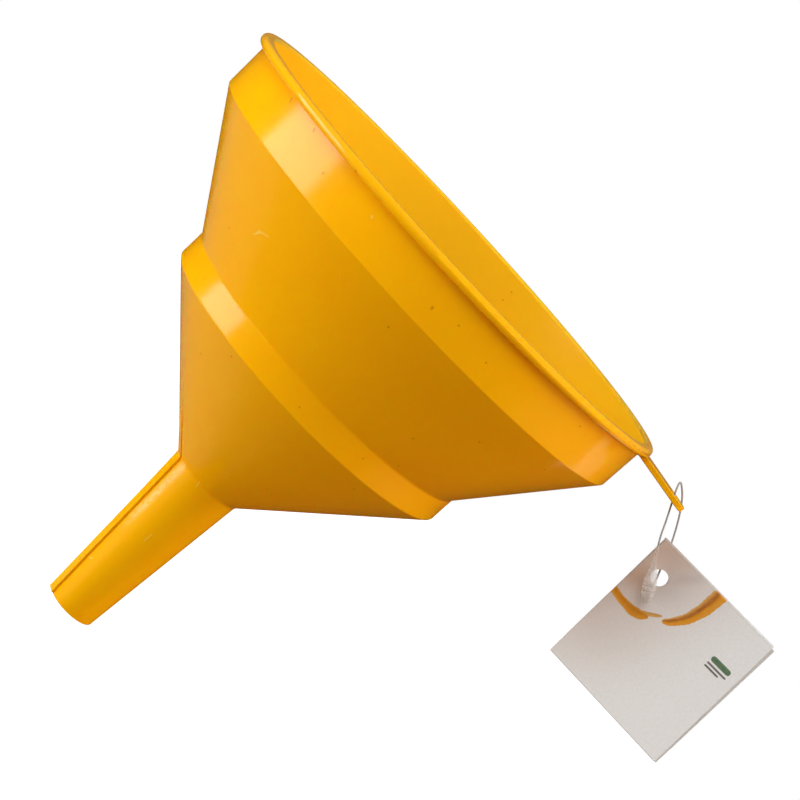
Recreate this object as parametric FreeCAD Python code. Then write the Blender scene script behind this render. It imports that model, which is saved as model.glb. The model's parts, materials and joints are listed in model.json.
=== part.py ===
"""Canning funnel: one polypropylene moulding with a hang tag looped through its rim tab.

The funnel stands on its axis, mouth up.  The origin is the centre of the spout's end
face, +Z points to the mouth and +X to the hang tab.  Sizes are in millimetres.
"""
import FreeCAD, Part
import math
import os

from FreeCAD import Vector

os.makedirs("parts", exist_ok=True)

# ---- funnel: heights above the spout's end face, and outside radii ----
RIM_TOP = 196.8
RIM_RADIUS = 100.0
BEAD_HEIGHT = 3.6
BEAD_ROUND = 1.7
MOUTH_ROUND = 1.2
WALL = 1.6
UPPER_BAND_TOP_RADIUS = 96.85
UPPER_BAND_RADIUS = 96.6
UPPER_BAND_BOTTOM = 175.9
LOWER_BAND_RADIUS = 65.35
LOWER_BAND_TOP = 131.9
LOWER_BAND_BOTTOM = 121.7
SPOUT_TOP = 70.3
SPOUT_TOP_RADIUS = 14.8
SPOUT_TIP_RADIUS = 10.2
CORNER_ROUND = 1.0
CREASE_ROUND = 1.4
THROAT_ROUND = 3.0
TIP_ROUND = 0.2

# ---- vent rib on the spout and lower cone ----
RIB_ANGLE = 213.7
RIB_WIDTH = 4.0
RIB_RISE_AT_TIP = 0.9
RIB_RISE_AT_THROAT = 0.85
RIB_CORNER_ABOVE_THROAT = 0.4
RIB_FADE_HEIGHT = 92.3
RIB_TIP_GAP = 0.3
RIB_BITE = 0.8

# ---- hang tab, a flat lug under the bead that slopes down and outward ----
TAB_SLOPE = 7.5
TAB_THICKNESS = 2.1
TAB_ROOT = 95.8
TAB_TIP = 122.3
TAB_ROOT_WIDTH = 14.0
TAB_TIP_WIDTH = 11.0
TAB_CORNER = 4.0
TAB_HOLE_X = 117.3
TAB_HOLE_DIAMETER = 5.0
TAB_MIDDLE_AT_HOLE = 190.05
TAB_EDGE_ROUND = 0.35

# ---- folded card tag, in its own plane: u to the right, v up, from its hole ----
CARD_HOLE = Vector(135.3, 0.0, 167.0)
CARD_HOLE_DIAMETER = 6.5
CARD_TURN = 2.2
CARD_STOCK = 0.4
CARD_THICKNESS = 1.8
CARD_FOLD_V = 11.9
CARD_FOLD_GAP = 0.25
FRONT_LEAF_TOP = (-8.7, 45.7)
FRONT_LEAF_BOTTOM = [(46.6, -48.0), (-8.2, -46.3)]
BACK_LEAF_TOP = (-8.6, 47.2)
BACK_LEAF_BOTTOM = [(47.6, -48.1), (-8.1, -46.1)]

# ---- cord lock: distances along its axis from the socket's tail ----
LOCK_TAIL = Vector(125.8, -4.4, 174.94)
LOCK_TILT = 35.6
LOCK_RADIUS = 2.4
LOCK_TAIL_RADIUS = 0.75
LOCK_NECK = [(0.8, 0.9), (0.62, 1.6), (0.72, 4.5), (1.1, 6.6), (1.45, 8.6), (2.2, 11.6)]
LOCK_SHOULDER = 13.0
LOCK_MOUTH = 16.2
PLUG_TAIL = [(2.15, 18.4), (1.7, 19.6), (1.1, 20.5), (0.5, 20.9)]
SOCKET_BORE_RADIUS = 1.4
SOCKET_BORE_START = 11.6
CATCH_RADIUS = 1.05
CATCH_START = 13.6
CATCH_END = 14.4
STEM_RADIUS = 0.85
BARB_RADIUS = 1.25
BARB_LENGTH = 1.4
COLLAR_LENGTH = 1.3
CLEARANCE = 0.15

# ---- tag cord ----
CORD_DIAMETER = 0.7
CORD_ROUTE = [
    (125.80, -4.40, 174.94),
    (123.82, -4.20, 177.70),
    (121.40, -2.30, 182.70),
    (118.30, -0.40, 188.10),
    (115.20, 0.10, 193.50),
    (114.75, 2.45, 195.55),
    (116.20, 5.50, 195.00),
    (119.70, 6.70, 192.40),
    (123.50, 6.50, 187.90),
    (127.30, 6.35, 182.20),
    (131.00, 6.30, 175.80),
    (133.60, 5.60, 169.80),
    (134.80, -1.70, 165.80),
    (136.05, -0.90, 162.30),
    (137.55, -0.75, 159.60),
    (137.95, -2.05, 158.55),
    (137.05, -3.50, 159.50),
]


def corner_arc(before, corner, after, radius):
    """Tangent arc that rounds one corner, as (start, middle, end) points."""
    to_before = (before - corner).normalize()
    to_after = (after - corner).normalize()
    half_turn = (math.pi - to_before.getAngle(to_after)) / 2
    setback = radius * math.tan(half_turn)
    bisector = (to_before + to_after).normalize()
    centre = corner + bisector * (radius / math.cos(half_turn))
    start = corner + to_before * setback
    end = corner + to_after * setback
    return start, centre - bisector * radius, end


def rounded_edges(points, radii, closed):
    """Straight runs joined by tangent arcs; a radius of 0 keeps a corner sharp."""
    count = len(points)
    corners = []
    for index, (corner, radius) in enumerate(zip(points, radii)):
        if radius > 0:
            before = points[index - 1]
            after = points[(index + 1) % count]
            corners.append(corner_arc(before, corner, after, radius))
        else:
            corners.append((corner, None, corner))
    edges = []
    for index, (start, middle, end) in enumerate(corners):
        if middle is not None:
            edges.append(Part.Arc(start, middle, end).toShape())
        if index < count - 1 or closed:
            next_start = corners[(index + 1) % count][0]
            edges.append(Part.LineSegment(end, next_start).toShape())
    return edges


def rounded_face(points, radii):
    """Flat face with rounded corners."""
    return Part.Face(Part.Wire(rounded_edges(points, radii, True)))


def offset_line(start, end, distance):
    """A line in the XZ plane moved sideways, to its left as it runs from start to end."""
    along = (end - start).normalize()
    shift = Vector(-along.z, 0, along.x) * distance
    return start + shift, end + shift


def meet(line_a, line_b):
    """Where two lines in the XZ plane cross."""
    start_a, end_a = line_a
    start_b, end_b = line_b
    run_a = end_a - start_a
    run_b = end_b - start_b
    gap = start_b - start_a
    cross = run_a.x * run_b.z - run_a.z * run_b.x
    share = (gap.x * run_b.z - gap.z * run_b.x) / cross
    return start_a + run_a * share


def funnel_shell():
    """The round moulding: its wall's outline turned about the axis."""
    outer = [
        Vector(SPOUT_TIP_RADIUS, 0, 0),
        Vector(SPOUT_TOP_RADIUS, 0, SPOUT_TOP),
        Vector(LOWER_BAND_RADIUS, 0, LOWER_BAND_BOTTOM),
        Vector(LOWER_BAND_RADIUS, 0, LOWER_BAND_TOP),
        Vector(UPPER_BAND_RADIUS, 0, UPPER_BAND_BOTTOM),
        Vector(UPPER_BAND_TOP_RADIUS, 0, RIM_TOP),
    ]
    walls = [offset_line(a, b, WALL) for a, b in zip(outer, outer[1:])]
    inner = [meet(a, b) for a, b in zip(walls, walls[1:])]
    top = (Vector(0, 0, RIM_TOP), Vector(RIM_RADIUS, 0, RIM_TOP))
    bottom = (Vector(0, 0, 0), Vector(RIM_RADIUS, 0, 0))
    bead_foot = Vector(UPPER_BAND_TOP_RADIUS, 0, RIM_TOP - BEAD_HEIGHT)
    outline = outer[:5] + [
        bead_foot,
        Vector(RIM_RADIUS, 0, RIM_TOP - BEAD_HEIGHT),
        Vector(RIM_RADIUS, 0, RIM_TOP),
        meet(walls[-1], top),
    ] + inner[::-1] + [meet(walls[0], bottom)]
    outer_rounds = [TIP_ROUND, THROAT_ROUND, CORNER_ROUND, CREASE_ROUND, CORNER_ROUND]
    bead_rounds = [TIP_ROUND, BEAD_ROUND, BEAD_ROUND, MOUTH_ROUND]
    inner_rounds = [CORNER_ROUND, CORNER_ROUND, CREASE_ROUND, THROAT_ROUND, TIP_ROUND]
    face = rounded_face(outline, outer_rounds + bead_rounds + inner_rounds)
    return face.revolve(Vector(0, 0, 0), Vector(0, 0, 1), 360)


def vent_rib():
    """Upright rib along the spout that fades out on the lower cone."""
    cone_slope = (LOWER_BAND_RADIUS - SPOUT_TOP_RADIUS) / (LOWER_BAND_BOTTOM - SPOUT_TOP)
    fade_radius = SPOUT_TOP_RADIUS + cone_slope * (RIB_FADE_HEIGHT - SPOUT_TOP)
    profile = [
        Vector(SPOUT_TIP_RADIUS - RIB_BITE, 0, RIB_TIP_GAP),
        Vector(SPOUT_TIP_RADIUS + RIB_RISE_AT_TIP, 0, RIB_TIP_GAP),
        Vector(SPOUT_TOP_RADIUS + RIB_RISE_AT_THROAT, 0, SPOUT_TOP + RIB_CORNER_ABOVE_THROAT),
        Vector(fade_radius, 0, RIB_FADE_HEIGHT),
        Vector(fade_radius - RIB_BITE, 0, RIB_FADE_HEIGHT),
        Vector(SPOUT_TOP_RADIUS - RIB_BITE, 0, SPOUT_TOP),
    ]
    rounds = [0, TIP_ROUND, CREASE_ROUND, 0, 0, 0]
    face = rounded_face(profile, rounds)
    face.translate(Vector(0, -RIB_WIDTH / 2, 0))
    rib = face.extrude(Vector(0, RIB_WIDTH, 0))
    rib.rotate(Vector(0, 0, 0), Vector(0, 0, 1), RIB_ANGLE)
    return rib


def hang_tab():
    """Sloping lug with a round hole, drawn flat and then tipped about the hole."""
    outline = [
        Vector(TAB_ROOT, -TAB_ROOT_WIDTH / 2, 0),
        Vector(TAB_TIP, -TAB_TIP_WIDTH / 2, 0),
        Vector(TAB_TIP, TAB_TIP_WIDTH / 2, 0),
        Vector(TAB_ROOT, TAB_ROOT_WIDTH / 2, 0),
    ]
    plate = rounded_face(outline, [0, TAB_CORNER, TAB_CORNER, 0])
    plate = plate.extrude(Vector(0, 0, TAB_THICKNESS))
    hole_at = Vector(TAB_HOLE_X, 0, -TAB_THICKNESS)
    hole = Part.makeCylinder(TAB_HOLE_DIAMETER / 2, 3 * TAB_THICKNESS, hole_at)
    tab = plate.cut(hole)
    long_edges = [edge for edge in tab.Edges if edge.BoundBox.ZLength < TAB_THICKNESS / 2]
    outer_edges = [edge for edge in long_edges if edge.BoundBox.XMin > TAB_ROOT - 1
                   and edge.BoundBox.XMax > TAB_ROOT + 1]
    tab = tab.makeFillet(TAB_EDGE_ROUND, outer_edges)
    tab.translate(Vector(0, 0, TAB_MIDDLE_AT_HOLE - TAB_THICKNESS / 2))
    tab.rotate(Vector(TAB_HOLE_X, 0, TAB_MIDDLE_AT_HOLE), Vector(0, 1, 0), TAB_SLOPE)
    return tab


def funnel_body():
    """The whole moulding, as one solid."""
    body = funnel_shell().fuse([vent_rib(), hang_tab()])
    return body.removeSplitter()


def card_place(shape):
    """Turn a card drawn about its hole to the slant it hangs at, and set it there."""
    shape.rotate(Vector(0, 0, 0), Vector(0, 1, 0), -CARD_TURN)
    shape.translate(CARD_HOLE)
    return shape


def leaf_plate(top, bottom, top_v, front_y):
    """One leaf of the card as a flat plate with the cord's hole."""
    left, right = top
    corners = [Vector(left, front_y, top_v), Vector(right, front_y, top_v)]
    corners += [Vector(u, front_y, v) for u, v in bottom]
    face = Part.Face(Part.makePolygon(corners + corners[:1]))
    plate = face.extrude(Vector(0, CARD_STOCK, 0))
    hole = Part.makeCylinder(CARD_HOLE_DIAMETER / 2, 4, Vector(0, -1, 0), Vector(0, 1, 0))
    return plate.cut(hole)


def fold_bend(top, axis_v):
    """Half-round bend that joins the two leaves along the card's top edge."""
    left, right = top
    radius = CARD_THICKNESS / 2
    start = Vector(left, radius, axis_v)
    along = Vector(1, 0, 0)
    outside = Part.makeCylinder(radius, right - left, start, along)
    inside = Part.makeCylinder(radius - CARD_STOCK, right - left, start, along)
    keep_at = Vector(left - 1, -1, axis_v)
    keep = Part.makeBox(right - left + 2, CARD_THICKNESS + 2, radius + 1, keep_at)
    return outside.cut(inside).common(keep)


def tag_front_leaf():
    """Printed leaf with the fold's bend on its top edge."""
    axis_v = CARD_FOLD_V - CARD_THICKNESS / 2
    plate = leaf_plate(FRONT_LEAF_TOP, FRONT_LEAF_BOTTOM, axis_v, 0)
    return card_place(plate.fuse(fold_bend(FRONT_LEAF_TOP, axis_v)).removeSplitter())


def tag_back_leaf():
    """Plain leaf behind, which opens about the fold."""
    top_v = CARD_FOLD_V - CARD_THICKNESS / 2 - CARD_FOLD_GAP
    front_y = CARD_THICKNESS - CARD_STOCK
    return card_place(leaf_plate(BACK_LEAF_TOP, BACK_LEAF_BOTTOM, top_v, front_y))


def lock_place(shape):
    """Turn a piece drawn down the -Z axis to the lock's slant, and set it there."""
    shape.rotate(Vector(0, 0, 0), Vector(0, 1, 0), -LOCK_TILT)
    shape.translate(LOCK_TAIL)
    return shape


def turned(outline):
    """Solid of revolution about Z from (radius, distance down the axis) points."""
    points = [Vector(radius, 0, -down) for radius, down in outline]
    face = Part.Face(Part.makePolygon(points + points[:1]))
    return face.revolve(Vector(0, 0, 0), Vector(0, 0, 1), 360)


def lock_socket():
    """Clear barrel: the cord's end is moulded into its tail, and it has a catch inside."""
    outline = [
        (0, 0),
        (LOCK_TAIL_RADIUS, 0),
        *LOCK_NECK,
        (LOCK_RADIUS, LOCK_SHOULDER),
        (LOCK_RADIUS, LOCK_MOUTH),
        (SOCKET_BORE_RADIUS, LOCK_MOUTH),
        (SOCKET_BORE_RADIUS, CATCH_END),
        (CATCH_RADIUS, CATCH_END),
        (CATCH_RADIUS, CATCH_START),
        (SOCKET_BORE_RADIUS, CATCH_START),
        (SOCKET_BORE_RADIUS, SOCKET_BORE_START),
        (0, SOCKET_BORE_START),
    ]
    return lock_place(turned(outline))


def lock_plug():
    """Clear plug: a barbed stem past the catch, a collar and a tail that holds the cord's end."""
    collar = LOCK_MOUTH + CLEARANCE
    barb_end = CATCH_START - CLEARANCE
    barb_start = barb_end - BARB_LENGTH
    outline = [
        (0, barb_start),
        (BARB_RADIUS / 2, barb_start),
        (BARB_RADIUS, barb_end - BARB_LENGTH / 3),
        (BARB_RADIUS, barb_end),
        (STEM_RADIUS, barb_end),
        (STEM_RADIUS, collar),
        (LOCK_RADIUS, collar),
        (LOCK_RADIUS, collar + COLLAR_LENGTH),
        *PLUG_TAIL,
        (0, PLUG_TAIL[-1][1]),
    ]
    return lock_place(turned(outline))


def tag_cord():
    """Cord from the socket's tail, through the tab and the card, to the plug's tail."""
    points = [Vector(*point) for point in CORD_ROUTE]
    radii = [0.0]
    for before, corner, after in zip(points, points[1:], points[2:]):
        shorter = min((corner - before).Length, (after - corner).Length)
        turn = (corner - before).getAngle(after - corner)
        radii.append(0.45 * shorter / math.tan(turn / 2))
        print("cord corner: turn %.0f deg, radius %.2f mm" % (math.degrees(turn), radii[-1]))
    radii.append(0.0)
    path = Part.Wire(rounded_edges(points, radii, False))
    section = Part.Wire(Part.makeCircle(CORD_DIAMETER / 2, points[0], points[1] - points[0]))
    tube = path.makePipeShell([section], True, True)
    expected = math.pi * CORD_DIAMETER ** 2 / 4 * path.Length
    print("cord length %.2f mm, volume %.3f, section x length %.3f mm3"
          % (path.Length, tube.Volume, expected))
    return tube


NODES = {
    "funnel_body": funnel_body,
    "tag_cord": tag_cord,
    "lock_socket": lock_socket,
    "lock_plug": lock_plug,
    "tag_front_leaf": tag_front_leaf,
    "tag_back_leaf": tag_back_leaf,
}

for name, make in NODES.items():
    shape = make()
    solids = len(shape.Solids)
    print("%s: valid %s, solids %d, volume %.1f" % (name, shape.isValid(), solids, shape.Volume))
    shape.exportStep("parts/%s.step" % name)
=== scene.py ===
"""Canning funnel with a folded card tag on a cord loop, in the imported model's frame (metres)."""

import json
import math

import bpy
from mathutils import Matrix, Vector

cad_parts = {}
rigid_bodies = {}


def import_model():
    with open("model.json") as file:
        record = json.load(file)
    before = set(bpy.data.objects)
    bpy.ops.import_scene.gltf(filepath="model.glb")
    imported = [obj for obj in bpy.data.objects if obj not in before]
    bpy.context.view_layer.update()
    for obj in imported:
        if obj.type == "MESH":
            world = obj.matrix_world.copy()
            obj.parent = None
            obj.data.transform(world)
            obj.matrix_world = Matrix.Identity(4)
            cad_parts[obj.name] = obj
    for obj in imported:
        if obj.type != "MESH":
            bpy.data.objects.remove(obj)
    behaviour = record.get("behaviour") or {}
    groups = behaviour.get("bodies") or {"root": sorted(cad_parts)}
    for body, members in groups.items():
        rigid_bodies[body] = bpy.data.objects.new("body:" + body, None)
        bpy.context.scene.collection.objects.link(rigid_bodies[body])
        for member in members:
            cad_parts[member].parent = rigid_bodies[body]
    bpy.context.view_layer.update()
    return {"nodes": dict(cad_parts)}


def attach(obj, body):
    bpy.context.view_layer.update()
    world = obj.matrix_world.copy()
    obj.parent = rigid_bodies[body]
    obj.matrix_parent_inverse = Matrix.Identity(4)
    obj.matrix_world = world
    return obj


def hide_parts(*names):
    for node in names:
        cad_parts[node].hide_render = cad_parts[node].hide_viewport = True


for leftover in list(bpy.data.objects):
    bpy.data.objects.remove(leftover)

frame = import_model()
scene = bpy.context.scene
MM = 0.001


# ---------------------------------------------------------------- camera
CAMERA_LENS = 89.135
CAMERA_SENSOR = 36.0
CAMERA_PLACE = (0.026298, -0.699970, 0.248224)
CAMERA_RIGHT = (0.67543, 0.11108, 0.72901)
CAMERA_BACK = (0.0, -0.98859, 0.15064)

camera_data = bpy.data.cameras.new("camera")
camera_data.lens = CAMERA_LENS
camera_data.sensor_width = CAMERA_SENSOR
camera_data.clip_start = 0.01
camera_data.clip_end = 50.0
camera = bpy.data.objects.new("camera", camera_data)
scene.collection.objects.link(camera)
camera_back = Vector(CAMERA_BACK).normalized()
camera_up = camera_back.cross(Vector(CAMERA_RIGHT).normalized()).normalized()
camera_right = camera_up.cross(camera_back)
camera_turn = Matrix((camera_right, camera_up, camera_back)).transposed().to_4x4()
camera.matrix_world = Matrix.Translation(CAMERA_PLACE) @ camera_turn
scene.camera = camera


# ---------------------------------------------------------------- the tag's cord
CORD_ROUTE = [
    (0.12580, -0.00440, 0.17494),
    (0.12382, -0.00420, 0.17770),
    (0.12140, -0.00230, 0.18270),
    (0.11830, -0.00040, 0.18810),
    (0.11520, 0.00010, 0.19350),
    (0.11475, 0.00245, 0.19555),
    (0.11620, 0.00550, 0.19500),
    (0.11970, 0.00670, 0.19240),
    (0.12350, 0.00650, 0.18790),
    (0.12730, 0.00635, 0.18220),
    (0.13100, 0.00630, 0.17580),
    (0.13360, 0.00560, 0.16980),
    (0.13480, -0.00170, 0.16580),
    (0.13605, -0.00090, 0.16230),
    (0.13755, -0.00075, 0.15960),
    (0.13795, -0.00205, 0.15855),
    (0.13705, -0.00350, 0.15950),
]
CORD_DIAMETER = 0.0007


def cord_curve(name, route, diameter):
    """One open NURBS spline with a round bevel."""
    data = bpy.data.curves.new(name, "CURVE")
    data.dimensions = "3D"
    data.resolution_u = 24
    # the thread's radius is given at each point, because that is what the curve's box adds
    data.bevel_depth = 1.0
    data.bevel_resolution = 5
    data.use_fill_caps = True
    spline = data.splines.new("NURBS")
    spline.points.add(len(route) - 1)
    for point, place in zip(spline.points, route):
        point.co = (*place, 1.0)
        point.radius = diameter / 2
    spline.order_u = 3
    spline.use_endpoint_u = True
    obj = bpy.data.objects.new(name, data)
    scene.collection.objects.link(obj)
    return obj


tag_cord = cord_curve("tag_thread", CORD_ROUTE, CORD_DIAMETER)
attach(tag_cord, "cord_loop")
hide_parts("tag_cord")


# ---------------------------------------------------------------- node helpers
class Nodes:
    """Short way to build the node tree of a material or of the world."""

    def __init__(self, owner, output="ShaderNodeOutputMaterial"):
        owner.use_nodes = True
        self.owner = owner
        self.tree = owner.node_tree
        self.tree.nodes.clear()
        self.output = self.add(output)

    def add(self, kind, inputs=None, **settings):
        node = self.tree.nodes.new(kind)
        for key, value in settings.items():
            setattr(node, key, value)
        for key, value in (inputs or {}).items():
            self.feed(node.inputs[key], value)
        return node

    def feed(self, socket, value):
        if isinstance(value, bpy.types.NodeSocket):
            self.tree.links.new(value, socket)
        else:
            socket.default_value = value

    def math(self, operation, *values):
        node = self.add("ShaderNodeMath", operation=operation)
        for socket, value in zip(node.inputs, values):
            self.feed(socket, value)
        return node.outputs[0]

    def plus(self, total, *values):
        for value in values:
            total = self.math("ADD", total, value)
        return total

    def minus(self, first, second):
        return self.math("SUBTRACT", first, second)

    def times(self, product, *values):
        for value in values:
            product = self.math("MULTIPLY", product, value)
        return product

    def hypot(self, a, b):
        return self.math("SQRT", self.plus(self.times(a, a), self.times(b, b)))

    def ramp(self, value, low, high, to_low=0.0, to_high=1.0):
        """Smooth step from to_low at low to to_high at high."""
        node = self.add("ShaderNodeMapRange", interpolation_type="SMOOTHSTEP")
        for key, number in zip(("Value", "From Min", "From Max", "To Min", "To Max"),
                               (value, low, high, to_low, to_high)):
            self.feed(node.inputs[key], number)
        return node.outputs[0]

    def mix(self, share, first, second):
        """The colour that is first at share 0 and second at share 1."""
        node = self.add("ShaderNodeMix", data_type="RGBA")
        self.feed(node.inputs[0], share)
        self.feed(node.inputs[6], first)
        self.feed(node.inputs[7], second)
        return node.outputs[2]

    def noise(self, vector, scale, detail=2.0, roughness=0.5, distortion=0.0):
        node = self.add("ShaderNodeTexNoise", {
            "Vector": vector, "Scale": scale, "Detail": detail,
            "Roughness": roughness, "Distortion": distortion,
        })
        return node.outputs[0]

    def cells(self, vector, scale):
        """Outputs of flat cells, each with its own colour and the distance from its middle."""
        return self.add("ShaderNodeTexVoronoi", {"Vector": vector, "Scale": scale},
                        voronoi_dimensions="2D").outputs

    def bump(self, height, distance, strength=1.0, normal=None):
        node = self.add("ShaderNodeBump", {
            "Height": height, "Distance": distance, "Strength": strength,
        })
        if normal is not None:
            self.feed(node.inputs["Normal"], normal)
        return node.outputs[0]

    def line_mark(self, across, along, start, end, half_width):
        """1 on the straight line from start to end, fading to 0 at half_width."""
        (ax, ay), (bx, by) = start, end
        length = math.hypot(bx - ax, by - ay)
        ux, uy = (bx - ax) / length, (by - ay) / length
        dx, dy = self.minus(across, ax), self.minus(along, ay)
        t = self.plus(self.times(dx, ux), self.times(dy, uy))
        side = self.minus(self.times(dx, uy), self.times(dy, ux))
        over = self.minus(self.math("ABSOLUTE", self.minus(t, length / 2)), length / 2)
        away = self.hypot(side, self.math("MAXIMUM", over, 0.0))
        return self.ramp(away, half_width * 0.4, half_width, 1.0, 0.0)

    def place(self):
        """The point's own coordinates."""
        return self.add("ShaderNodeTexCoord").outputs["Object"]

    def split(self, vector):
        return self.add("ShaderNodeSeparateXYZ", {0: vector}).outputs

    def join(self, x, y, z):
        return self.add("ShaderNodeCombineXYZ", {0: x, 1: y, 2: z}).outputs[0]

    def principled(self, **inputs):
        """The material's surface; an input's spaces are written as underscores."""
        shader = self.add("ShaderNodeBsdfPrincipled")
        for key, value in inputs.items():
            self.feed(shader.inputs[key.replace("_", " ")], value)
        self.tree.links.new(shader.outputs[0], self.output.inputs[0])


def new_material(name):
    return Nodes(bpy.data.materials.new(name))


def rgb(r, g, b):
    """An sRGB colour given 0 to 255, as linear RGBA."""
    def linear(v):
        v /= 255
        return v / 12.92 if v <= 0.04045 else ((v + 0.055) / 1.055) ** 2.4
    return (linear(r), linear(g), linear(b), 1.0)


# ---------------------------------------------------------------- funnel plastic
DARK_MARK = rgb(176, 106, 6)
PALE_MARK = rgb(255, 214, 92)
# Small marks on the wall, whose places were worked out by a separate program and typed in:
# colour, strength, then ((turn, height), (turn, height), wall radius, half width) in radians
# and metres.
FUNNEL_MARKS = [
    (DARK_MARK, 0.60, [
        ((-2.350, 0.1923), (-2.344, 0.1909), 0.0968, 0.0004),
        ((-2.170, 0.1920), (-2.164, 0.1910), 0.0968, 0.0004),
        ((-2.018, 0.1854), (-2.017, 0.1850), 0.0967, 0.0005),
        ((-1.445, 0.1830), (-1.444, 0.1826), 0.0967, 0.0006),
    ]),
    (PALE_MARK, 0.60, [
        ((-2.166, 0.1532), (-2.128, 0.1558), 0.0825, 0.0004),
        ((-2.128, 0.1558), (-2.083, 0.1568), 0.0825, 0.0004),
        ((-2.150, 0.1546), (-2.140, 0.1556), 0.0825, 0.0006),
        ((-1.790, 0.1881), (-1.788, 0.1877), 0.0968, 0.0006),
        ((-1.449, 0.0404), (-1.442, 0.0444), 0.0130, 0.0003),
        ((-1.562, 0.0688), (-1.600, 0.0712), 0.0150, 0.0003),
        ((-2.270, 0.0200), (-2.220, 0.0206), 0.0115, 0.0005),
    ]),
]
TAB_FADE = (0.0975, 0.1015)     # radii between which the wall's texture gives way to the tab
# place of the painted highlight streak on the spout
HIGHLIGHT_STREAK_TURN = -2.20
HIGHLIGHT_STREAK_HALF_WIDTH = (0.02, 0.19)
HIGHLIGHT_STREAK_BOTTOM = (0.034, 0.050)
HIGHLIGHT_STREAK_TOP = (0.0700, 0.0715)
WALL_IOR = 1.49
SUBSURFACE_RADIUS = (1.0, 0.28, 0.02)
SUBSURFACE_SCALE = 0.0026


def funnel_plastic():
    n = new_material("funnel_polypropylene")
    place = n.place()
    x, y, z = n.split(place)
    radius = n.hypot(x, y)
    turn = n.math("ARCTAN2", y, x)
    # a look correction: rubs, grain and subsurface all fade out on the tab
    on_wall = n.ramp(radius, *TAB_FADE, 1.0, 0.0)

    # grain: close in height, long round the axis
    grain = n.noise(n.join(n.times(turn, 0.9), radius, n.times(z, 60.0)), 40.0, 3.0, 0.6)
    cloud = n.noise(place, 26.0, 3.0, 0.55)
    fine = n.noise(place, 1400.0, 2.0, 0.5)
    # short pale rubs that run along the wall
    rub_at = n.join(n.times(turn, 9.0), n.times(radius, 30.0), n.times(z, 22.0))
    rub = n.times(n.ramp(n.noise(rub_at, 9.0, 4.0, 0.7, 0.6), 0.60, 0.78), on_wall)
    # sparse specks and nicks on the unrolled wall, in places of their own
    specks = n.cells(n.join(n.times(turn, 0.08), z, 0.0), 85.0)
    speck = n.times(n.ramp(specks["Distance"], 0.010, 0.042, 1.0, 0.0),
                    n.math("GREATER_THAN", n.split(specks["Color"])[0], 0.80))
    slanted = n.join(n.plus(n.times(turn, 0.26), n.times(z, 1.4)), n.times(z, 0.5), 0.0)
    nicks = n.cells(slanted, 70.0)
    nick = n.times(n.ramp(nicks["Distance"], 0.015, 0.05, 1.0, 0.0),
                   n.math("GREATER_THAN", n.split(nicks["Color"])[1], 0.80))
    # painted highlight: a soft pale mottled streak on the spout beside the rib, where a softbox's
    # reflection falls; the wall is also rougher there
    streak = n.ramp(n.math("ABSOLUTE", n.minus(turn, HIGHLIGHT_STREAK_TURN)), *HIGHLIGHT_STREAK_HALF_WIDTH, 1.0, 0.0)
    streak = n.times(streak, n.ramp(z, *HIGHLIGHT_STREAK_BOTTOM), n.ramp(z, *HIGHLIGHT_STREAK_TOP, 1.0, 0.0))
    streak = n.times(streak, n.ramp(n.noise(place, 620.0, 2.0, 0.5), 0.34, 0.66, 0.50, 1.0))

    base = n.mix(n.ramp(cloud, 0.30, 0.70), rgb(248, 180, 3), rgb(246, 176, 2))
    # a look correction, painted light: the base colour is paler inside the bowl, standing in for
    # the brighter, less saturated light that falls there
    facing = n.split(n.add("ShaderNodeNewGeometry").outputs["Normal"])
    outward = n.plus(n.times(facing[0], x), n.times(facing[1], y))
    inside = n.ramp(n.math("DIVIDE", outward, radius), -0.30, -0.05, 1.0, 0.0)
    base = n.mix(inside, base, rgb(240, 192, 28))
    base = n.mix(n.times(rub, 0.12), base, rgb(252, 205, 96))
    base = n.mix(n.times(speck, 0.50), base, rgb(128, 66, 6))
    base = n.mix(n.times(nick, 0.35), base, rgb(255, 212, 96))
    for tint, share, marks in FUNNEL_MARKS:
        for (turn_a, z_a), (turn_b, z_b), at_radius, half_width in marks:
            mark = n.line_mark(n.times(turn, at_radius), z, (turn_a * at_radius, z_a),
                               (turn_b * at_radius, z_b), half_width)
            base = n.mix(n.times(mark, share), base, tint)
    # painted highlight: the pale streak on the spout
    base = n.mix(n.times(streak, 0.50), base, rgb(255, 214, 136))

    rough = n.plus(0.09, n.times(grain, on_wall, 0.10), n.times(streak, 0.20),
                   n.times(rub, 0.14), n.times(cloud, 0.05))
    normal = n.bump(grain, 0.00002, n.times(on_wall, 0.55))
    normal = n.bump(fine, 0.000012, n.times(on_wall, 0.35), normal)
    normal = n.bump(n.times(nick, -1.0), 0.00006, 0.5, normal)
    normal = n.bump(cloud, 0.0002, n.times(on_wall, 0.2), normal)
    n.principled(Base_Color=base, Roughness=rough, Normal=normal, IOR=WALL_IOR,
                 Specular_IOR_Level=0.45, Subsurface_Radius=SUBSURFACE_RADIUS,
                 Subsurface_Scale=SUBSURFACE_SCALE, Subsurface_Weight=n.times(on_wall, 0.40))
    return n.owner


# ---------------------------------------------------------------- tag card
CARD_HOLE = (0.1353, 0.0, 0.1670)
CARD_TURN = math.radians(2.2)
# the front leaf's rims and fold, in millimetres right (u) and up (v) of the hole
FOLD_V = 11.0
FOLD_RADIUS = 0.9
LEFT_RIM_U = -8.68
LEFT_RIM_DRIFT = 0.5 / 58.2     # how far the left rim leans right for each millimetre down
LOWER_RIM_V = 46.55
LOWER_RIM_SLOPE = 0.031
TONE_SPOT = (-6.5, -5.0)


def card_coordinates(n, place):
    """Millimetres right and up of the hole, in the card's own plane."""
    x, _, z = n.split(place)
    along = n.minus(x, CARD_HOLE[0])
    up = n.minus(z, CARD_HOLE[2])
    c, s = math.cos(CARD_TURN) / MM, math.sin(CARD_TURN) / MM
    u = n.plus(n.times(along, c), n.times(up, s))
    v = n.minus(n.times(up, c), n.times(along, s))
    return u, v


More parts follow.
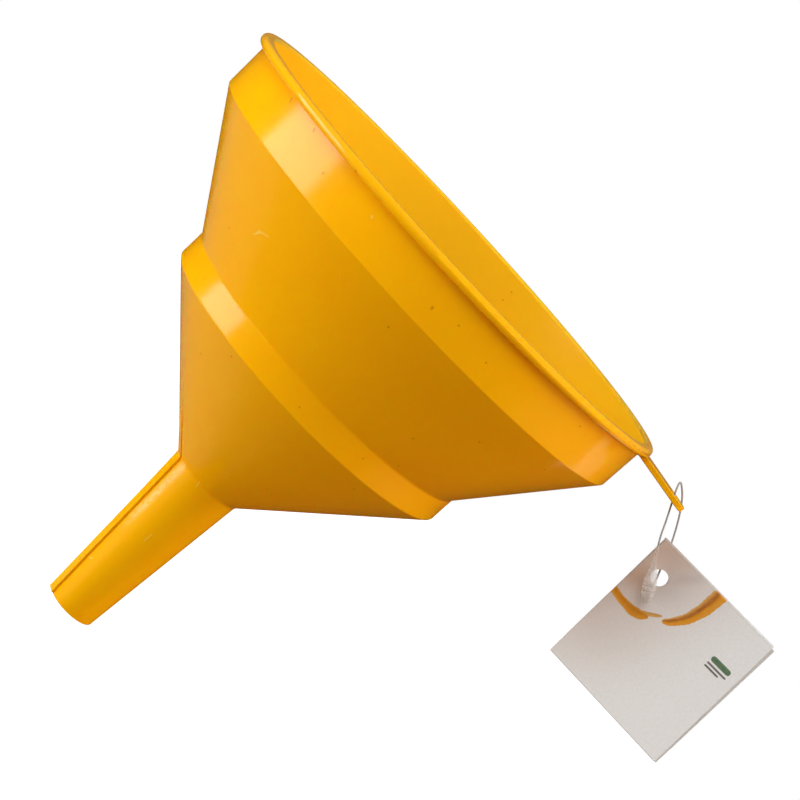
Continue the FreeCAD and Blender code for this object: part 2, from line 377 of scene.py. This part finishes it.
def front_tone(n, u, v, cloud):
    """Warm brown at the upper left corner, fading to warm grey."""
    drift = n.times(n.minus(cloud, 0.5), 4.0)
    lean = n.plus(n.minus(n.times(u, 0.75), n.times(v, 0.42)), drift)
    base = n.mix(n.ramp(lean, -9.5, 7.0), rgb(209, 182, 161), rgb(238, 240, 241))
    lower = n.ramp(n.plus(v, drift), -62.0, -22.0)
    near_left = n.ramp(n.minus(u, n.times(v, 0.25)), -9.0, 40.0, 1.0, 0.0)
    base = n.mix(n.times(near_left, lower, 0.72), base, rgb(197, 178, 167))
    spot = n.hypot(n.minus(u, TONE_SPOT[0]), n.minus(v, TONE_SPOT[1]))
    base = n.mix(n.times(n.ramp(spot, 0.5, 7.5, 1.0, 0.0), 0.60), base, rgb(186, 148, 123))
    # faint slanting shade right of the hole
    shade = n.plus(n.minus(n.times(v, 0.72), n.times(u, 0.70)), n.times(drift, 0.5))
    shade = n.ramp(n.math("ABSOLUTE", shade), 0.3, 3.2, 1.0, 0.0)
    beside = n.times(n.ramp(u, 3.0, 6.0), n.ramp(u, 8.0, 15.0, 1.0, 0.0))
    base = n.mix(n.times(shade, beside, 0.16), base, rgb(140, 128, 122))
    # a look correction, painted shade: the lower and left rims are greyed, standing in for the cut
    # edges seen in shadow
    above_rim = n.plus(v, LOWER_RIM_V, n.times(u, LOWER_RIM_SLOPE))
    painted_rim_shade = n.math("MAXIMUM", n.ramp(above_rim, 0.10, 0.42, 1.0, 0.0),
                 n.ramp(u, -8.45, -8.15, 1.0, 0.0))
    return n.mix(n.times(painted_rim_shade, 0.60), base, rgb(150, 144, 138))


def card_material(name, front):
    n = new_material(name)
    place = n.place()
    u, v = card_coordinates(n, place)
    fibre = n.noise(place, 900.0, 4.0, 0.6)
    cloud = n.noise(place, 60.0, 2.0, 0.5)
    if front:
        base = front_tone(n, u, v, cloud)
    else:
        base = n.mix(n.ramp(cloud, 0.3, 0.7), rgb(226, 226, 222), rgb(233, 233, 229))
    # painted shade over the fold, toning down the light it catches, then the paper's fibres
    base = n.mix(n.times(n.ramp(v, 10.6, 11.7), 0.45), base, rgb(158, 152, 147))
    base = n.mix(n.times(n.ramp(fibre, 0.35, 0.75), 0.08), base, rgb(150, 140, 132))
    n.principled(Base_Color=base, Normal=n.bump(fibre, 0.00003, 0.25), Roughness=0.42,
                 Specular_IOR_Level=0.4)
    return n.owner


def ink_material(name, bands):
    """Brushed ink: bands is a list of (share across the stroke, colour); bristles run along it."""
    n = new_material(name)
    along, across, _ = n.split(n.add("ShaderNodeUVMap", uv_map="stroke").outputs[0])
    bristles = n.noise(n.join(n.times(along, 0.55), n.times(across, 7.0), 0.0), 1.0, 3.0, 0.6)
    shifted = n.plus(across, n.times(n.minus(bristles, 0.5), 0.22))
    ramp = n.add("ShaderNodeValToRGB", {"Fac": shifted})
    stops = ramp.color_ramp.elements
    while len(stops) < len(bands):
        stops.new(0.5)
    for stop, (share, colour) in zip(stops, bands):
        stop.position = share
        stop.color = colour
    mottle = n.noise(n.join(along, n.times(across, 3.0), 1.0), 1.6, 2.0)
    mottle = n.times(n.ramp(mottle, 0.35, 0.7), 0.22)
    n.principled(Base_Color=n.mix(mottle, ramp.outputs[0], rgb(226, 170, 84)), Roughness=0.45)
    return n.owner


# ---------------------------------------------------------------- mesh helpers
def mesh_object(name, vertices, faces, material, uv=None, smooth=True):
    mesh = bpy.data.meshes.new(name)
    mesh.from_pydata([tuple(v) for v in vertices], [], faces)
    mesh.update()
    if uv is not None:
        layer = mesh.uv_layers.new(name="stroke")
        for loop in mesh.loops:
            layer.data[loop.index].uv = uv[loop.vertex_index]
    for polygon in mesh.polygons:
        polygon.use_smooth = smooth
    mesh.materials.append(material)
    obj = bpy.data.objects.new(name, mesh)
    scene.collection.objects.link(obj)
    return obj


def card_point(u, v, y=0.0):
    """A point of the card's plane, given in millimetres, in the model's frame."""
    c, s = math.cos(CARD_TURN), math.sin(CARD_TURN)
    return Vector((CARD_HOLE[0] + (u * c - v * s) * MM, y * MM,
                   CARD_HOLE[2] + (u * s + v * c) * MM))


def lathe(name, outline, material, segments=64):
    """A (radius, height) outline turned about Z; its two ends stay open."""
    vertices, faces = [], []
    count = len(outline)
    for step in range(segments):
        angle = 2 * math.pi * step / segments
        for radius, height in outline:
            vertices.append((radius * math.cos(angle), radius * math.sin(angle), height))
    for step in range(segments):
        here, there = step * count, (step + 1) % segments * count
        for index in range(count - 1):
            faces.append((here + index, there + index, there + index + 1, here + index + 1))
    return mesh_object(name, vertices, faces, material)


def catmull(points, share):
    """Point on a smooth curve through points; share runs from 0 to 1."""
    place = share * (len(points) - 1)
    index = min(int(place), len(points) - 2)
    t = place - index
    rows = [points[max(0, min(len(points) - 1, index + k))] for k in (-1, 0, 1, 2)]
    out = []
    for a, b, c, d in zip(*rows):
        out.append(0.5 * (2 * b + (c - a) * t + (2 * a - 5 * b + 4 * c - d) * t * t
                          + (3 * b - a - 3 * c + d) * t ** 3))
    return out


# ---------------------------------------------------------------- apply materials
def set_material(obj, material):
    obj.data.materials.clear()
    obj.data.materials.append(material)


nodes = frame["nodes"]
set_material(nodes["funnel_body"], funnel_plastic())
set_material(nodes["tag_front_leaf"], card_material("card_print", True))
set_material(nodes["tag_back_leaf"], card_material("card_plain", False))


# ---------------------------------------------------------------- cord lock and thread
LOCK_LEAN = math.radians(-35.6)
# outlines in millimetres: (radius, distance down from the cord's exit)
SOCKET_BACK = [
    (0.05, 0.0), (0.70, 0.05), (0.82, 0.5), (0.80, 0.9), (0.62, 1.7), (0.66, 3.0),
    (0.72, 4.5), (1.10, 6.6), (1.45, 8.6), (2.15, 11.4), (2.38, 12.8), (2.40, 14.2),
]
SOCKET_GROOVE = [(2.40, 14.3), (2.30, 14.45), (2.30, 14.7), (2.40, 14.85)]
SOCKET_LIP = [(2.40, 15.4), (2.40, 15.5), (2.40, 15.9), (2.30, 16.18), (1.5, 16.2)]
PLUG_PIN = [(0.85, 13.6), (0.85, 15.0), (0.85, 16.2)]
PLUG_HEAD = [
    (1.3, 16.36), (2.2, 16.40), (2.40, 16.65), (2.40, 17.4), (2.33, 17.8), (2.15, 18.4),
    (1.7, 19.6), (1.1, 20.5), (0.5, 20.88), (0.05, 20.9),
]


def lock_material():
    n = new_material("lock_clear_polypropylene")
    place = n.place()
    haze = n.noise(place, 700.0, 3.0, 0.6)
    base = n.mix(n.ramp(haze, 0.3, 0.7), rgb(206, 199, 194), rgb(222, 216, 212))
    # clear at the neck, milkier over the barrel
    down = n.math("ABSOLUTE", n.split(place)[2])
    n.principled(Base_Color=base, Roughness=n.plus(0.14, n.times(haze, 0.2)),
                 Normal=n.bump(haze, 0.00008, 0.3), Alpha=n.ramp(down, 0.0030, 0.0130, 0.20, 0.48),
                 Specular_IOR_Level=0.30, IOR=WALL_IOR)
    return n.owner


def thread_material():
    n = new_material("thread_nylon")
    x, y, z = n.split(n.place())
    streak = n.noise(n.join(x, y, n.times(z, 0.2)), 500.0, 2.0)
    base = n.mix(streak, rgb(150, 150, 154), rgb(168, 168, 171))
    n.principled(Base_Color=base, Normal=n.bump(streak, 0.00001, 0.1), Specular_IOR_Level=0.25,
                 Roughness=0.5)
    return n.owner


def smooth_outline(points, per_run=5):
    """Smooth (radius, height) outline in metres, through (radius, distance down) points."""
    out = []
    total = (len(points) - 1) * per_run
    for step in range(total + 1):
        radius, down = catmull(points, step / total)
        out.append((max(radius, 0.0) * MM, -down * MM))
    return out


clear = lock_material()
lock_at = Matrix.Translation(CORD_ROUTE[0]) @ Matrix.Rotation(LOCK_LEAN, 4, "Y")
socket_outline = (smooth_outline(SOCKET_BACK) + smooth_outline(SOCKET_GROOVE, 3)
                  + smooth_outline(SOCKET_LIP, 4))
socket = lathe("lock_barrel", socket_outline, clear)
plug = lathe("lock_end", smooth_outline(PLUG_PIN, 2) + smooth_outline(PLUG_HEAD), clear)
for piece, node in ((socket, "lock_socket"), (plug, "lock_plug")):
    piece.matrix_world = lock_at
    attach(piece, "cord_loop")
    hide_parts(node)
tag_cord.data.materials.append(thread_material())


# ---------------------------------------------------------------- print on the card
INK_LIFT = 0.03     # millimetres between the ink and the card
RIM_GAP = 0.03


def on_card(u, v, lift):
    """A point just above the front leaf, kept inside its edges and round its fold."""
    v = min(v, FOLD_V + FOLD_RADIUS - RIM_GAP)
    u = max(u, LEFT_RIM_U + LEFT_RIM_DRIFT * (FOLD_V + FOLD_RADIUS - v))
    back = 0.0
    if v > FOLD_V:
        back = FOLD_RADIUS - math.sqrt(FOLD_RADIUS ** 2 - (v - FOLD_V) ** 2)
    return card_point(u, v, back - lift)


def printed(name, vertices, faces, uv, material):
    obj = mesh_object(name, vertices, faces, material, uv)
    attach(obj, "tag_front")


def brush_stroke(name, points, material, seed, steps=120, across=10, lift=INK_LIFT, ragged=0.02):
    """Flat brushed ink: a ribbon through (u, v, width) points, just above the card."""
    vertices, faces, uv = [], [], []
    for step in range(steps + 1):
        share = step / steps
        u, v, width = catmull(points, share)
        ahead = catmull(points, min(1.0, share + 0.01))
        behind = catmull(points, max(0.0, share - 0.01))
        run = Vector((ahead[0] - behind[0], ahead[1] - behind[1])).normalized()
        side = Vector((-run.y, run.x))
        for lane in range(across + 1):
            t = lane / across
            stray = 0.0
            if lane in (0, across):
                k = seed + (11 if lane else 0)
                stray = ragged * (math.sin(step * 0.9 + k) + math.sin(step * 0.23 + 2.3 * k))
            offset = (t - 0.5 + stray) * max(width, 0.05)
            vertices.append(on_card(u + side.x * offset, v + side.y * offset, lift))
            uv.append((share * 10.0, t))
    for step in range(steps):
        for lane in range(across):
            a = step * (across + 1) + lane
            faces.append((a, a + 1, a + across + 2, a + across + 1))
    printed(name, vertices, faces, uv, material)


def printed_bar(name, middle, length, height, material, steps=32):
    """Plain printed bar with round ends."""
    vertices, uv = [], []
    for step in range(steps):
        angle = 2 * math.pi * step / steps
        u = math.cos(angle) * height / 2
        v = math.sin(angle) * height / 2
        u += (length - height) / 2 if u >= 0 else -(length - height) / 2
        vertices.append(on_card(middle[0] + u, middle[1] + v, INK_LIFT))
        uv.append((u, v))
    printed(name, vertices, [tuple(reversed(range(steps)))], uv, material)


LEFT_TAIL = [
    (4.2, -12.7, 0.6), (6.2, -12.0, 1.4), (8.0, -10.8, 1.4), (9.6, -9.6, 1.1), (10.6, -8.75, 0.3),
]
LEFT_STROKE = [
    (-10.2, -13.6, 2.5), (-8.3, -14.15, 2.75), (-5.4, -14.75, 2.8), (-2.5, -15.0, 3.0),
    (0.2, -15.05, 3.4), (2.6, -14.8, 3.8), (4.8, -14.1, 3.3), (6.4, -13.3, 2.2),
    (7.4, -12.7, 0.8),
]
RIGHT_STROKE = [
    (11.7, -10.0, 0.9), (12.5, -9.5, 2.0), (13.8, -8.4, 2.7), (15.9, -5.6, 3.5),
    (17.7, -2.0, 4.2), (18.8, 2.5, 4.9), (19.3, 7.2, 5.4), (19.4, 13.2, 5.6),
]
pale = ink_material("ink_pale", [(0.1, rgb(206, 160, 98)), (0.6, rgb(198, 148, 80))])
ochre = ink_material("ink_ochre", [
    (0.05, rgb(214, 148, 46)), (0.45, rgb(204, 130, 16)), (0.75, rgb(192, 114, 8)),
    (0.97, rgb(205, 148, 66)),
])
brown = ink_material("ink_brown_core", [
    (0.03, rgb(222, 154, 52)), (0.40, rgb(218, 144, 26)), (0.56, rgb(170, 98, 34)),
    (0.74, rgb(172, 102, 42)), (0.86, rgb(208, 148, 66)), (0.98, rgb(216, 172, 110)),
])
green = ink_material("ink_green", [(0.2, rgb(66, 118, 96)), (0.8, rgb(74, 128, 104))])
slate = ink_material("ink_slate", [(0.2, rgb(104, 108, 112)), (0.8, rgb(112, 116, 120))])
# the tail lies lower, so the left stroke covers it where they cross
brush_stroke("print_tail_left", LEFT_TAIL, pale, 7.0, lift=0.025)
brush_stroke("print_stroke_left", LEFT_STROKE, ochre, 1.0)
brush_stroke("print_stroke_right", RIGHT_STROKE, brown, 4.0)
printed_bar("print_bar_wide", (37.8, -6.4), 9.0, 2.2, green)
printed_bar("print_bar_middle", (37.8, -8.7), 9.0, 0.7, slate)
printed_bar("print_bar_short", (36.6, -10.1), 6.6, 0.7, slate)


# ---------------------------------------------------------------- stage
FLOOR_HEIGHT = -0.90
FLOOR_REACH = 6
WHITE = (1, 1, 1, 1)


def stage_material():
    n = new_material("paper_sweep")
    base = n.mix(n.noise(n.place(), 4.0), rgb(252, 252, 252), rgb(255, 255, 255))
    n.principled(Base_Color=base, Roughness=0.95, Emission_Color=WHITE, Emission_Strength=1.0)
    return n.owner


floor_corners = [(FLOOR_REACH * x, FLOOR_REACH * y, FLOOR_HEIGHT)
                 for x, y in ((-1, -1), (1, -1), (1, 1), (-1, 1))]
floor = mesh_object("floor", floor_corners, [(0, 1, 2, 3)], stage_material(), smooth=False)
floor.visible_diffuse = False
floor.visible_glossy = False


def area_light(name, place, target, width, height, power, colour):
    data = bpy.data.lights.new(name, "AREA")
    data.shape = "RECTANGLE"
    data.size = width
    data.size_y = height
    data.energy = power
    data.color = colour
    light = bpy.data.objects.new(name, data)
    scene.collection.objects.link(light)
    turn = (Vector(target) - Vector(place)).to_track_quat("-Z", "Y").to_matrix().to_4x4()
    light.matrix_world = Matrix.Translation(place) @ turn
    # only the key lights show in reflections
    light.visible_glossy = name.startswith("key")


FUNNEL_MIDDLE = (0.0, 0.0, 0.1)
# name, place, what it faces, width, height, power in watts, colour
LIGHTS = [
    ("key_softbox", (-0.90, -0.35, 0.06), (0.0, -0.35, 0.06), 0.60, 0.60, 4.6, (1.0, 0.99, 0.98)),
    ("fill_front_top", (-0.1, -1.0, 1.2), FUNNEL_MIDDLE, 1.0, 1.0, 11.4, (1.0, 1.0, 1.0)),
    ("fill_right", (1.2, 0.05, 0.2), FUNNEL_MIDDLE, 0.9, 0.9, 9.6, (1.0, 0.68, 0.45)),
    ("fill_right_top", (0.9, -0.1, 1.0), FUNNEL_MIDDLE, 0.9, 0.9, 7.2, (1.0, 1.0, 1.0)),
    ("fill_left_top", (-0.8, 0.1, 1.0), FUNNEL_MIDDLE, 0.9, 0.9, 5.0, (1.0, 1.0, 1.0)),
    ("fill_below_left", (-0.8, -0.5, -0.6), FUNNEL_MIDDLE, 0.9, 0.9, 9.0, (1.0, 0.97, 0.90)),
    ("key_low_panel", (-0.95, 1.35, -0.85), (-0.95, 1.35, 0.5), 2.1, 2.3, 2.6, (1.0, 0.99, 0.97)),
]
for settings in LIGHTS:
    area_light(*settings)


HORIZON = 0.12
ROOM_LOW = (0.10, 0.055, 0.03, 1.0)
ROOM_HIGH = (0.24, 0.24, 0.235, 1.0)
ROOM_IN_REFLECTIONS = 0.4


def studio_world():
    """White to the camera; a dim room, warm below and grey above, to everything else."""
    n = Nodes(bpy.data.worlds.new("studio"), "ShaderNodeOutputWorld")
    upward = n.split(n.add("ShaderNodeTexCoord").outputs["Generated"])[2]
    above = n.add("ShaderNodeMapRange", {
        "Value": upward, "From Min": -HORIZON, "From Max": HORIZON,
    }).outputs[0]
    rays = n.add("ShaderNodeLightPath").outputs
    level = n.add("ShaderNodeMapRange", {
        "Value": rays["Is Glossy Ray"], "To Min": 1.0, "To Max": ROOM_IN_REFLECTIONS,
    }).outputs[0]
    room = n.add("ShaderNodeBackground", {0: n.mix(above, ROOM_LOW, ROOM_HIGH), 1: level})
    seen = n.add("ShaderNodeBackground", {0: WHITE, 1: 1.0})
    choose = n.add("ShaderNodeMixShader", {
        0: rays["Is Camera Ray"], 1: room.outputs[0], 2: seen.outputs[0],
    })
    n.feed(n.output.inputs[0], choose.outputs[0])
    return n.owner


scene.world = studio_world()
scene.view_settings.view_transform = "Standard"
scene.view_settings.look = "None"


bpy.context.view_layer.update()
